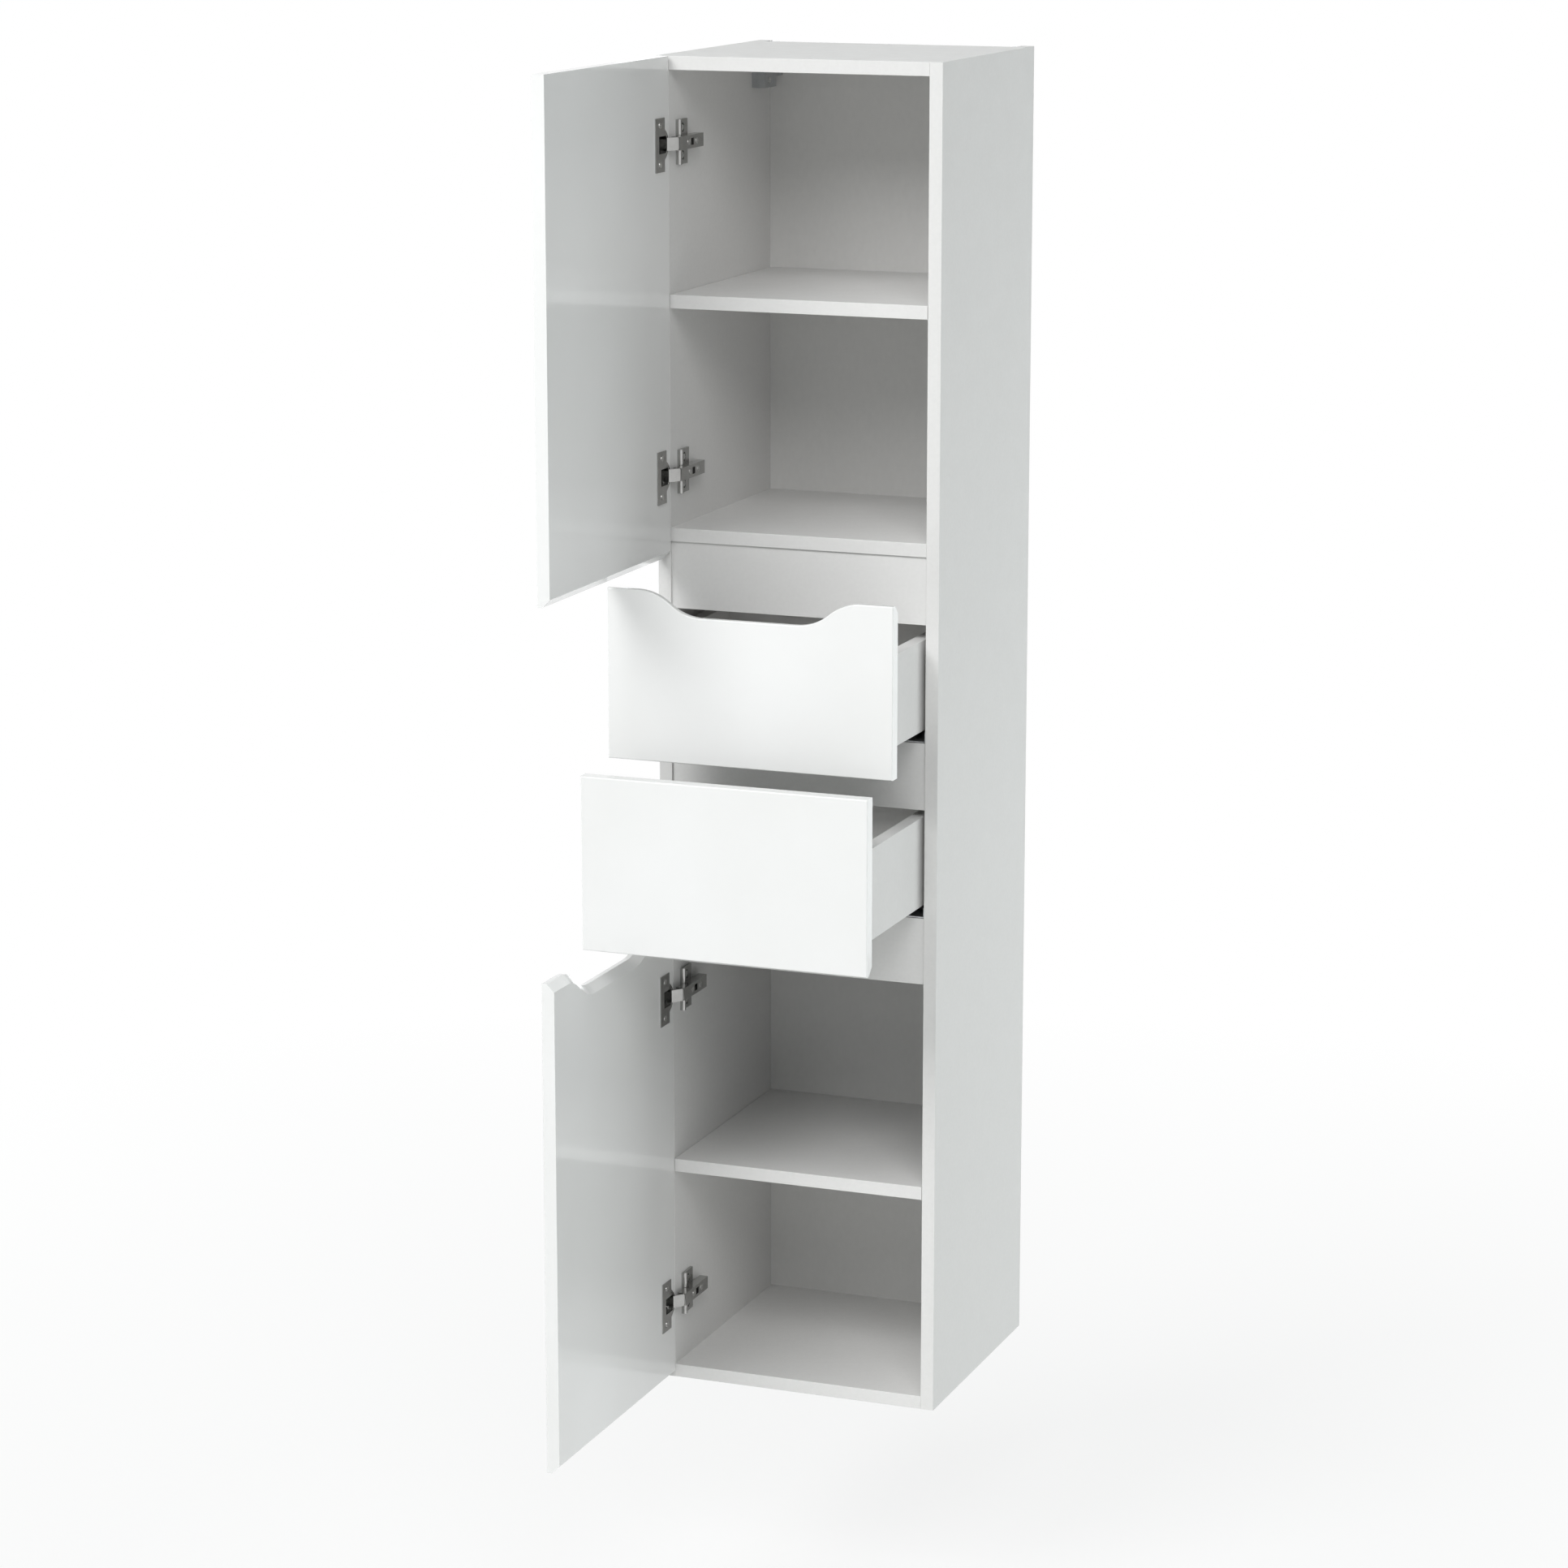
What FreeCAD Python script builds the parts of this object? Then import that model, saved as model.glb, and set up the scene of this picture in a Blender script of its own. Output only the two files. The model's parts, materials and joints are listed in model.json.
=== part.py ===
import FreeCAD, Part
import math
import os
from types import SimpleNamespace

import Sketcher

# Tall wall cabinet with two doors and two drawers, shown with its doors open
# and its drawers pulled out. Millimetres, X to the right, Y from the room to
# the wall, Z up. The origin lies on the wall, midway between the two screw
# holes of the hanging rail.

DIMENSIONS = {
    # carcass
    "cabinet_width": 350,
    "cabinet_height": 1600,
    "cabinet_depth": 330,
    "board": 16,
    "edge_ease": 0.6,
    "top_setback": 24,
    "back_thickness": 3,
    "back_setback": 4.5,
    "back_drop": 19,
    "back_rise": 2,
    "groove_depth": 7,
    "groove_clearance": 0.2,
    # shelves and front rails
    "upper_shelf_height": 258.2,
    "lower_shelf_height": 246,
    "shelf_clearance": 0.5,
    "door_overlap": 20.3,
    "rail_height": 80,
    "rail_setback": 3,
    "rail_overlap": 11,
    # fronts
    "front_thickness": 16,
    "front_reveal": 0.5,
    "upper_front_height": 200,
    "lower_front_height": 205,
    "grip_gap": 10,
    "front_gap": 5,
    "bevel": 9.5,
    "edge_round": 1.5,
    "wave_end": 38,
    "wave_run": 79,
    "wave_depth": 29,
    # drawers
    "drawer_clearance": 5,
    "drawer_lift": 25,
    "upper_headroom": 18.3,
    "lower_headroom": 9,
    "drawer_back_gap": 40.5,
    "drawer_board": 16,
    "drawer_bottom": 8,
    "drawer_recess": 13,
    "drawer_groove": 5,
    "upper_extension": 136,
    "lower_extension": 217,
    # runners under the drawers
    "runner_height": 26,
    "runner_start": 2,
    "runner_back_gap": 5,
    "runner_sheet": 1.2,
    "runner_flange": 12,
    "runner_offset": 24,
    "runner_width": 22,
    "runner_lip": 6,
    "runner_flight": 3.4,
    "runner_web": 4,
    "runner_play": 0.3,
    "slide_start": 33,
    "slide_back_gap": 4,
    "clip_length": 34,
    "clip_height": 14,
    "clip_notch": 5,
    # hinges
    "hinge_inset": 100,
    "cup_radius": 17.5,
    "cup_edge": 3,
    "cup_wall": 0.8,
    "cup_clearance": 0.1,
    "flange_height": 62,
    "flange_width": 27,
    "flange_offset": 6.2,
    "flange_thickness": 1.2,
    "flange_rim": 1.1,
    "flange_floor": 0.4,
    "flange_screw_spacing": 45,
    "mouth_margin": 2.4,
    "mouth_width": 24.8,
    "mouth_height": 20,
    "pivot_edge": 7.6,
    "pivot_depth": 9.4,
    "pivot_radius": 1,
    "pivot_play": 0.05,
    "swing_clearance": 0.3,
    "barrel_wall": 0.65,
    "barrel_clearance": 0.35,
    "ear_thickness": 1.5,
    "ear_margin": 1.9,
    "neck_thickness": 1.8,
    "neck_height": 15,
    "neck_leg_height": 11,
    "neck_reach": 1.8,
    "neck_tail": 11,
    "arm_start": 0.5,
    "arm_length": 71.5,
    "arm_height": 15.5,
    "arm_rise": 14,
    "arm_sheet": 1.3,
    "arm_lift": 0.3,
    "arm_slot_start": 34,
    "arm_slot_length": 8,
    "arm_slot_height": 8,
    "arm_screw_front": 27,
    "arm_screw_back": 52,
    "plate_start": 21,
    "plate_width": 29,
    "plate_height": 52,
    "plate_thickness": 3,
    "plate_rib": 3.2,
    "plate_boss_length": 40,
    "plate_screw_spacing": 32,
    "plate_floor": 1.2,
    "plate_slot_width": 7.4,
    "plate_slot_length": 11,
    # hanging hardware
    "hanger_width": 16.5,
    "hanger_length": 60,
    "hanger_height": 37,
    "hanger_step_length": 22,
    "hanger_step_height": 12,
    "hanger_play": 0.2,
    "hook_thickness": 4,
    "hook_height": 13,
    "hook_reach": 36,
    "hook_leg": 6,
    "hook_tooth": 2.8,
    "hook_drop": 10,
    "hook_bridge": 3,
    "hook_margin": 1,
    "rail_drop": 26,
    "hanging_rail_leg": 20,
    "hanging_rail_sheet": 2,
    "hanging_rail_play": 0.3,
    "hanging_rail_margin": 1,
    "rail_screw_spacing": 200,
    "rail_screw_radius": 3,
    # fasteners
    "fit_clearance": 0.05,
    "hole_depth_clearance": 0.5,
    "dowel_radius": 4,
    "dowel_in_face": 11,
    "dowel_in_edge": 19,
    "dowel_inset": 20,
    "joint_front": 50,
    "joint_back": 70,
    "joint_pitch": 32,
    "cam_radius": 7.5,
    "cam_height": 12.5,
    "cam_inset": 24,
    "cam_slot": 2,
    "bolt_radius": 3,
    "bolt_thread_radius": 2.5,
    "bolt_thread": 10,
    "shelf_pin_radius": 2.5,
    "shelf_pin_depth": 8,
    "shelf_pin_front": 45,
    "shelf_pin_back": 55,
    "shelf_tab_length": 9,
    "shelf_tab_width": 11,
    "shelf_tab_thickness": 2,
    "screw_radius": 1.9,
    "screw_depth": 11,
    "screw_head_radius": 3.4,
    "screw_head": 1.4,
    "screw_drive_width": 0.9,
    "screw_drive_depth": 0.8,
    "runner_screw_front": 37,
    "runner_screw_back": 77,
    "hanger_screw_inset": 13,
    "hanger_screw_drop": 9,
}

doc = FreeCAD.newDocument("wall_cabinet")
sheet = doc.addObject("Spreadsheet::Sheet", "Sizes")
for row, (word, number) in enumerate(DIMENSIONS.items(), start=1):
    sheet.set("A%d" % row, word)
    sheet.set("B%d" % row, str(number))
    sheet.setAlias("B%d" % row, word)
doc.recompute()

SMALL = 1e-4
LEFT_TO_RIGHT = FreeCAD.Vector(1, 0, 0)
UPWARD = FreeCAD.Vector(0, 0, 1)
RIGHTWARD = 1
LEFTWARD = -1
OPEN_DOOR_TURN = FreeCAD.Rotation(UPWARD, -90)
ROD_TURNS = {
    "x": FreeCAD.Rotation(FreeCAD.Vector(0, 1, 0), 90),
    "y": FreeCAD.Rotation(FreeCAD.Vector(1, 0, 0), -90),
    "z": FreeCAD.Rotation(),
}


class Size:
    """A length together with the sheet expression that works it out."""

    def __init__(self, number, text):
        self.number = number
        self.text = text

    def __add__(self, other):
        other = as_size(other)
        return Size(self.number + other.number, "(%s + %s)" % (self.text, other.text))

    def __sub__(self, other):
        other = as_size(other)
        return Size(self.number - other.number, "(%s - %s)" % (self.text, other.text))

    def __mul__(self, other):
        other = as_size(other)
        return Size(self.number * other.number, "(%s * %s)" % (self.text, other.text))

    def __truediv__(self, other):
        other = as_size(other)
        return Size(self.number / other.number, "(%s / %s)" % (self.text, other.text))

    def __rsub__(self, other):
        return as_size(other) - self

    def __neg__(self):
        return Size(-self.number, "(0 - %s)" % self.text)

    __radd__ = __add__
    __rmul__ = __mul__


def as_size(thing):
    return thing if isinstance(thing, Size) else Size(float(thing), str(thing))


def root(size):
    return Size(math.sqrt(size.number), "sqrt(%s)" % size.text)


def sheet_size(word):
    return Size(float(sheet.get(word)), "Sizes." + word)


S = SimpleNamespace(**{word: sheet_size(word) for word in DIMENSIONS})
ZERO = as_size(0)
nodes = []


# Building blocks

def bind(thing, path, size):
    thing.setExpression(path, as_size(size).text)


def put(thing, x, y, z):
    for axis, size in zip("xyz", (x, y, z)):
        bind(thing, "Placement.Base." + axis, size)
    return thing


def block(name, xs, ys, zs):
    """Box between two values along each axis."""
    thing = doc.addObject("Part::Box", name)
    for path, (low, high) in zip(("Length", "Width", "Height"), (xs, ys, zs)):
        bind(thing, path, high - low)
    return put(thing, xs[0], ys[0], zs[0])


def rod(name, radius, axis, start, length):
    """Cylinder that runs from start along an axis."""
    thing = doc.addObject("Part::Cylinder", name)
    bind(thing, "Radius", radius)
    bind(thing, "Height", length)
    thing.Placement = FreeCAD.Placement(FreeCAD.Vector(), ROD_TURNS[axis])
    return put(thing, *start)


def eased_board(name, xs, ys, zs, along, face):
    """Board with the two long edges of one face rounded. The face is a sense and an axis, such as -y."""
    spans = dict(zip("xyz", (xs, ys, zs)))
    sense, axis = face
    across = "xyz".replace(along, "").replace(axis, "")
    low, high = spans[axis]
    line = low + S.edge_ease if sense == "-" else high - S.edge_ease
    core_span, nose_span = ((line, high), (low, line)) if sense == "-" else ((low, line), (line, high))
    core = {**spans, axis: core_span}
    sides = (spans[across][0] + S.edge_ease, spans[across][1] - S.edge_ease)
    nose = {**spans, axis: nose_span, across: sides}
    start, end = spans[along]
    pieces = [block(name + "Core", *core.values()), block(name + "Nose", *nose.values())]
    for side in sides:
        corner = {along: start, axis: line, across: side}
        pieces.append(rod(name + "Round", S.edge_ease, along, [corner[word] for word in "xyz"], end - start))
    return joined(name, pieces)


def joined(name, things):
    thing = doc.addObject("Part::MultiFuse", name)
    thing.Shapes = things
    thing.Refine = True
    return thing


def group(name, things):
    thing = doc.addObject("Part::Compound", name)
    thing.Links = things
    return thing


def minus(name, base, tools):
    thing = doc.addObject("Part::Cut", name)
    thing.Base = base
    thing.Tool = tools[0] if len(tools) == 1 else group(name + "Tools", tools)
    return thing


def mirrored(name, source):
    thing = doc.addObject("Part::Mirroring", name)
    thing.Source = source
    thing.Normal = LEFT_TO_RIGHT
    return thing


def both_sides(name, source):
    return group(name, [source, mirrored(name + "Right", source)])


def copies(name, source, places):
    """Copies of one piece, each moved from where the piece was made."""
    things = []
    for place in places:
        link = doc.addObject("App::Link", name)
        link.LinkedObject = source
        link.LinkTransform = True
        things.append(put(link, *place))
    return things


def node(label, thing):
    thing.Label = label
    nodes.append(thing)
    return thing


def around(middle, width):
    return (middle - width / 2, middle + width / 2)


# Main lines of the cabinet

half = S.cabinet_width / 2
inner = half - S.board
front = -S.cabinet_depth
top = S.rail_drop
bottom = top - S.cabinet_height
ceiling = top - S.board
back_face = -(S.back_setback + S.back_thickness)
side_x = (-half, -inner)
between_sides = (-inner, inner)

drawer_fronts = S.upper_front_height + S.lower_front_height + S.front_gap
door_height = (S.cabinet_height - drawer_fronts) / 2 - S.grip_gap
lower_door_top = bottom + door_height
lower_front_bottom = lower_door_top + S.grip_gap
upper_front_bottom = lower_front_bottom + S.lower_front_height + S.front_gap
upper_door_bottom = top - door_height
middle_shelf_z = upper_door_bottom + S.door_overlap
upper_shelf_z = middle_shelf_z + S.board + S.upper_shelf_height
lower_shelf_z = bottom + S.board + S.lower_shelf_height
rail_tops = (
    ("upper_front_rail", middle_shelf_z),
    ("middle_front_rail", upper_front_bottom + S.rail_overlap),
    ("lower_front_rail", lower_front_bottom + S.rail_overlap),
)
front_width = S.cabinet_width - 2 * S.front_reveal

# Hinge pivot, set so that the door's inner corner swings clear of the side panel

swing_radius = root(S.pivot_edge * S.pivot_edge + S.pivot_depth * S.pivot_depth)
door_gap = swing_radius + S.swing_clearance - S.pivot_depth
pivot_x = -half + S.front_reveal + S.pivot_edge
pivot_y = front - door_gap - S.pivot_depth
open_door_x = pivot_x - (S.front_thickness - S.pivot_depth)
open_door_y = pivot_y + S.pivot_edge
upper_hinges = (upper_door_bottom + S.hinge_inset, top - S.hinge_inset)
lower_hinges = (bottom + S.hinge_inset, lower_door_top - S.hinge_inset)
hinge_heights = upper_hinges + lower_hinges

# Rear ends of a closed drawer and of its runners

drawer_end = back_face - S.drawer_back_gap
runner_end = drawer_end - S.runner_back_gap
slide_end = runner_end - S.slide_back_gap


# Fasteners

def cross_drive(name, axis, head, middle):
    """Two crossed slots, sunk into a screw head whose top faces along +axis."""
    slots = []
    long = S.screw_head_radius
    for across in ((long, S.screw_drive_width), (S.screw_drive_width, long)):
        deep = (head - S.screw_drive_depth, head + S.screw_drive_depth)
        spans = [around(value, width) for value, width in zip(middle, across)]
        spans.insert("xyz".index(axis), deep)
        slots.append(block(name, *spans))
    return joined(name + "Drive", slots)


def screw(name, axis, through=0):
    """Screw with its head's seat at the origin, its shank along -axis through a piece and into a board."""
    seat = [0, 0, 0]
    tip = [0, 0, 0]
    length = S.screw_depth + through
    tip["xyz".index(axis)] = -length
    head = rod(name + "Head", S.screw_head_radius, axis, seat, S.screw_head)
    shank = rod(name + "Shank", S.screw_radius, axis, tip, length)
    whole = joined(name + "Blank", [head, shank])
    return minus(name, whole, [cross_drive(name + "Slot", axis, S.screw_head, (0, 0))])


def pilot(name, axis):
    """Hole for the shank of a screw."""
    tip = [0, 0, 0]
    depth = S.screw_depth + S.hole_depth_clearance
    tip["xyz".index(axis)] = -depth
    return rod(name, S.screw_radius + S.fit_clearance, axis, tip, depth)


def dowel_along(name, axis, clearance, end_clearance):
    """Dowel at the origin, its short end in the face on the -axis side."""
    start = [0, 0, 0]
    start["xyz".index(axis)] = -(S.dowel_in_face + end_clearance)
    length = S.dowel_in_face + S.dowel_in_edge + 2 * end_clearance
    return rod(name, S.dowel_radius + clearance, axis, start, length)


dowel_x = dowel_along("DowelX", "x", 0, 0)
dowel_x_hole = dowel_along("DowelHoleX", "x", S.fit_clearance, S.hole_depth_clearance)
dowel_y = dowel_along("DowelY", "y", 0, 0)
dowel_y_hole = dowel_along("DowelHoleY", "y", S.fit_clearance, S.hole_depth_clearance)
side_screw = screw("SideScrew", "x")
side_pilot = pilot("SidePilot", "x")

# Cam fitting for the left end of a panel, made about the end's lower edge

bolt_z = S.board / 2
cam_hole_radius = S.cam_radius + S.fit_clearance
cam_start = (S.cam_inset, 0, 0)
bolt_start = (-S.bolt_thread, 0, bolt_z)
cam_bolt = joined("CamBolt", [
    rod("BoltThread", S.bolt_thread_radius, "x", bolt_start, S.bolt_thread),
    rod("BoltShank", S.bolt_radius, "x", (0, 0, bolt_z), S.cam_inset),
])
cam_blank = rod("CamBlank", S.cam_radius, "z", cam_start, S.cam_height)
cam_bore = rod("CamBore", S.bolt_radius + S.fit_clearance, "x", (0, 0, bolt_z), S.cam_inset + S.bolt_radius)
cam_slot = block(
    "CamSlot",
    around(S.cam_inset, S.cam_radius),
    around(ZERO, S.cam_slot),
    (-S.cam_slot, S.cam_slot),
)
cam_lock = minus("CamLock", cam_blank, [cam_bore, cam_slot])
bolt_hole_start = (-(S.bolt_thread + S.hole_depth_clearance), 0, bolt_z)
cam_hole = joined("CamHole", [
    rod("BoltHole", S.bolt_thread_radius + S.fit_clearance, "x", bolt_hole_start,
        S.bolt_thread + S.hole_depth_clearance),
    rod("BoltEase", S.bolt_radius + S.fit_clearance, "x", (0, 0, bolt_z), S.cam_inset),
    rod("CamPocket", cam_hole_radius, "z", (S.cam_inset, 0, -S.board),
        S.board + S.cam_height + S.hole_depth_clearance),
])

panel_ends = (
    (ceiling, -S.top_setback),
    (middle_shelf_z, back_face),
    (bottom, back_face),
)
cam_places = []
dowel_places = []
for panel_z, panel_back in panel_ends:
    for y, step in ((front + S.joint_front, S.joint_pitch), (panel_back - S.joint_back, -S.joint_pitch)):
        cam_places.append((-inner, y, panel_z))
        dowel_places.append((-inner, y + step, panel_z + S.board / 2))
rail_y = (front + S.rail_setback, front + S.rail_setback + S.board)
for _, rail_top in rail_tops:
    for z in (rail_top - S.dowel_inset, rail_top - S.rail_height + S.dowel_inset):
        dowel_places.append((-inner, rail_y[0] + S.board / 2, z))

node("carcass_dowels", both_sides("Dowels", group("DowelsLeft", copies("Dowel", dowel_x, dowel_places))))
node("cam_bolts", both_sides("CamBolts", group("CamBoltsLeft", copies("Bolt", cam_bolt, cam_places))))
node("cam_locks", both_sides("CamLocks", group("CamLocksLeft", copies("Cam", cam_lock, cam_places))))
dowel_holes = group("DowelHolesLeft", copies("DowelHole", dowel_x_hole, dowel_places))
cam_holes = group("CamHolesLeft", copies("CamHoleAt", cam_hole, cam_places))
joint_holes = both_sides("JointHoles", group("JointHolesLeft", [dowel_holes, cam_holes]))

# Shelf pins: a peg in the side panel and a tab under the shelf

peg_z = -S.shelf_pin_radius
peg_start = (-S.shelf_pin_depth, 0, peg_z)
shelf_pin = joined("ShelfPin", [
    rod("Peg", S.shelf_pin_radius, "x", peg_start, S.shelf_pin_depth),
    block("Tab", (0, S.shelf_tab_length), around(ZERO, S.shelf_tab_width), (-S.shelf_tab_thickness, 0)),
    block("TabRoot", (0, S.shelf_tab_thickness), around(ZERO, 2 * S.shelf_pin_radius),
          (-2 * S.shelf_pin_radius, 0)),
])
peg_hole_depth = S.shelf_pin_depth + S.hole_depth_clearance
peg_hole_radius = S.shelf_pin_radius + S.fit_clearance
peg_hole = rod("PegHole", peg_hole_radius, "x", (-peg_hole_depth, 0, peg_z), peg_hole_depth)
peg_hole_places = []
for label, shelf_z in (("upper_shelf_pins", upper_shelf_z), ("lower_shelf_pins", lower_shelf_z)):
    places = [(-inner, front + S.shelf_pin_front, shelf_z), (-inner, back_face - S.shelf_pin_back, shelf_z)]
    node(label, both_sides(label + "Set", group(label + "Left", copies("ShelfPinAt", shelf_pin, places))))
    peg_hole_places += places
peg_holes = group("PegHoles", copies("PegHoleAt", peg_hole, peg_hole_places))

# Screw places on the left side panel, each on the panel's inner face

hanger_front = back_face - S.hanger_play - S.hanger_length
hanger_bottom = ceiling - S.hanger_height
hanger_screw_places = [
    (-inner, hanger_front + S.hanger_screw_inset, ceiling - S.hanger_screw_drop),
    (-inner, hanger_front + S.hanger_screw_inset, hanger_bottom + S.hanger_screw_drop),
]
plate_line_y = front + S.plate_start + S.plate_width / 2
plate_screw_places = []
for hinge_z in hinge_heights:
    for z in around(hinge_z, S.plate_screw_spacing):
        plate_screw_places.append((-inner, plate_line_y, z))


def drawer_base(front_bottom):
    """Height of the underside of a drawer's bottom panel."""
    return front_bottom + S.drawer_lift + S.drawer_recess


runner_bases = [drawer_base(z) - S.runner_height for z in (upper_front_bottom, lower_front_bottom)]
runner_screw_places = []
for runner_z in runner_bases:
    for y in (front + S.runner_screw_front, runner_end - S.runner_screw_back):
        runner_screw_places.append((-inner, y, runner_z + S.runner_flange / 2))
shared_places = hanger_screw_places + runner_screw_places
shared_pilots = group("SharedPilots", copies("SharedPilot", side_pilot, shared_places))
hinge_pilots = group("HingePilots", copies("HingePilot", side_pilot, plate_screw_places))

# Side panels, with the groove for the back

groove = block(
    "BackGroove",
    (-inner - S.groove_depth, -inner),
    (back_face - S.groove_clearance, -S.back_setback + S.groove_clearance),
    (bottom, top),
)
side_blank = eased_board("SideBlank", side_x, (front, ZERO), (bottom, top), "z", "-y")
side_cuts = group("SideCuts", [groove, peg_holes, shared_pilots])
side_plain = minus("SidePlain", side_blank, [joint_holes, side_cuts])
node("left_side_panel", minus("LeftSide", side_plain, [hinge_pilots]))
node("right_side_panel", mirrored("RightSide", side_plain))

# Panels, rails, back and shelves between the sides

for label, (panel_z, panel_back) in zip(("top_panel", "middle_shelf", "bottom_panel"), panel_ends):
    panel_y = (front, panel_back)
    blank = eased_board(label + "Blank", between_sides, panel_y, (panel_z, panel_z + S.board), "x", "-y")
    node(label, minus(label + "Drilled", blank, [joint_holes]))
for label, rail_top in rail_tops:
    rail_z = (rail_top - S.rail_height, rail_top)
    blank = eased_board(label + "Blank", between_sides, rail_y, rail_z, "x", "-y")
    node(label, minus(label + "Drilled", blank, [joint_holes]))
back_reach = inner + S.groove_depth - S.groove_clearance
back_z = (bottom + S.back_rise, top - S.back_drop)
node("back_panel", block("BackPanel", (-back_reach, back_reach), (back_face, -S.back_setback), back_z))
shelf_x = (-inner + S.shelf_clearance, inner - S.shelf_clearance)
for label, shelf_z in (("upper_shelf", upper_shelf_z), ("lower_shelf", lower_shelf_z)):
    shelf_y = (front, back_face - S.shelf_clearance)
    node(label, eased_board(label + "Board", shelf_x, shelf_y, (shelf_z, shelf_z + S.board), "x", "-y"))

# Hanging rail on the wall, with a lip that stands off for the hooks

leg_z = around(ZERO, S.hanging_rail_leg)
lip_y = (back_face, back_face + S.hanging_rail_sheet)
lip_top = top - S.hook_margin - S.hook_bridge - S.hanging_rail_play
rail_reach = inner - S.hanging_rail_margin
rail_x = (-rail_reach, rail_reach)
rail_blank = joined("HangingRailBlank", [
    block("RailLeg", rail_x, (-S.hanging_rail_sheet, 0), leg_z),
    block("RailStep", rail_x, (lip_y[0], 0), (leg_z[1] - S.hanging_rail_sheet, leg_z[1])),
    block("RailLip", rail_x, lip_y, (leg_z[1] - S.hanging_rail_sheet, lip_top)),
])
rail_screw_hole = rod("RailScrewHole", S.rail_screw_radius, "y", (0, -S.hanging_rail_sheet, 0),
                      S.hanging_rail_sheet)
rail_screw_places = [(x, 0, 0) for x in around(ZERO, S.rail_screw_spacing)]
rail_screw_holes = group("RailScrewHoles", copies("RailScrewHoleAt", rail_screw_hole, rail_screw_places))
node("hanging_rail", minus("HangingRail", rail_blank, [rail_screw_holes]))

# Hangers under the top panel, each with a hook over the rail's lip

hanger_x = (-inner, -inner + S.hanger_width)
hanger_back = back_face - S.hanger_play
hook_x = around(-inner + S.hanger_width / 2, S.hook_thickness)
hook_z = (ceiling - S.hook_margin - S.hook_height, ceiling - S.hook_margin)
hook_tip_y = lip_y[1] + S.hook_margin + S.hook_tooth
hook_leg_y = (lip_y[0] - S.hook_margin - S.hook_leg, lip_y[0] - S.hook_margin)
hook_top = top - S.hook_margin
hook_start = hook_leg_y[1] - S.hook_reach
hook = joined("Hook", [
    block("HookArm", hook_x, (hook_start, hook_leg_y[1]), hook_z),
    block("HookLeg", hook_x, hook_leg_y, (hook_z[0], hook_top)),
    block("HookBridge", hook_x, (hook_leg_y[0], hook_tip_y), (hook_top - S.hook_bridge, hook_top)),
    block("HookTooth", hook_x, (hook_tip_y - S.hook_tooth, hook_tip_y), (hook_top - S.hook_drop, hook_top)),
])
hanger_blank = block("HangerBlank", hanger_x, (hanger_front, hanger_back), (hanger_bottom, ceiling))
hook_slot = block(
    "HookSlot",
    (hook_x[0] - S.hanger_play, hook_x[1] + S.hanger_play),
    (hook_start - S.hanger_play, hanger_back),
    (hook_z[0] - S.hanger_play, ceiling),
)
step = block(
    "HangerStep",
    hanger_x,
    (hanger_back - S.hanger_step_length, hanger_back),
    (hanger_bottom, hanger_bottom + S.hanger_step_height),
)
hanger_bores = []
for place in hanger_screw_places:
    hanger_bores.append(rod("HangerBore", S.screw_radius + S.fit_clearance, "x", place, S.hanger_width))
hanger = minus("Hanger", hanger_blank, [hook_slot, step, group("HangerBores", hanger_bores)])
node("left_hanger", hanger)
node("right_hanger", mirrored("RightHanger", hanger))
node("hanger_hooks", both_sides("Hooks", hook))
long_screw = screw("LongScrew", "x", S.hanger_width)
hanger_heads = [(x + S.hanger_width, y, z) for x, y, z in hanger_screw_places]
node("hanger_screws", both_sides("HangerScrews", group("HangerScrewsLeft", copies(
    "HangerScrew", long_screw, hanger_heads))))


# Hinges: plate, arm and neck on the side panel, made about their own mid height

def hinge_block(name, xs, ys, height):
    return block(name, [-inner + x for x in xs], [front + y for y in ys], around(ZERO, height))


boss_end = S.plate_start + S.plate_boss_length
web_under = S.arm_rise - S.arm_sheet
arm_bottom = S.plate_thickness + S.arm_lift
arm_inside = S.arm_height - 2 * S.arm_sheet
arm_end = S.arm_start + S.arm_length
plate_end = S.plate_start + S.plate_width
rib_x = -inner + S.plate_rib
rib_y = front + S.plate_start + S.plate_rib
rib_start = (rib_x, rib_y, -S.plate_height / 2)
arm_screw_start = web_under - S.screw_depth / 2
arm_screw_length = S.screw_depth / 2 + S.arm_sheet + S.arm_lift


def arm_screw_rod(name, radius):
    """Rods at the two adjusting screws of an arm."""
    rods = []
    for y in (S.arm_screw_front, S.arm_screw_back):
        rods.append(rod(name, radius, "x", (-inner + arm_screw_start, front + y, 0), arm_screw_length))
    return rods


rib = minus("PlateRib", rod("RibRod", S.plate_rib, "z", rib_start, S.plate_height), [
    hinge_block("RibGap", (0, S.arm_rise), (0, plate_end), S.arm_height + 2 * S.arm_lift)])
plate_slots = []
sunk_x = -inner + S.plate_floor
slot_end_radius = S.plate_slot_width / 2
slot_straight = S.plate_slot_length - S.plate_slot_width
for z in around(ZERO, S.plate_screw_spacing):
    hole_start = (-inner, plate_line_y, z)
    plate_slots.append(rod("PlateHole", S.screw_radius + S.fit_clearance, "x", hole_start, S.arm_rise))
    slot_y = around(plate_line_y, S.plate_slot_width)
    slot_pieces = [block("SlotMiddle", (sunk_x, sunk_x + S.arm_rise), slot_y, around(z, slot_straight))]
    for end_z in around(z, slot_straight):
        slot_pieces.append(rod("SlotEnd", slot_end_radius, "x", (sunk_x, plate_line_y, end_z), S.arm_rise))
    plate_slots.append(joined("PlateSlot", slot_pieces))
slot_span = (S.arm_slot_start, S.arm_slot_start + S.arm_slot_length)
arm_slot = hinge_block("ArmSlot", (arm_screw_start, S.arm_rise), slot_span, S.arm_slot_height)
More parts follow.
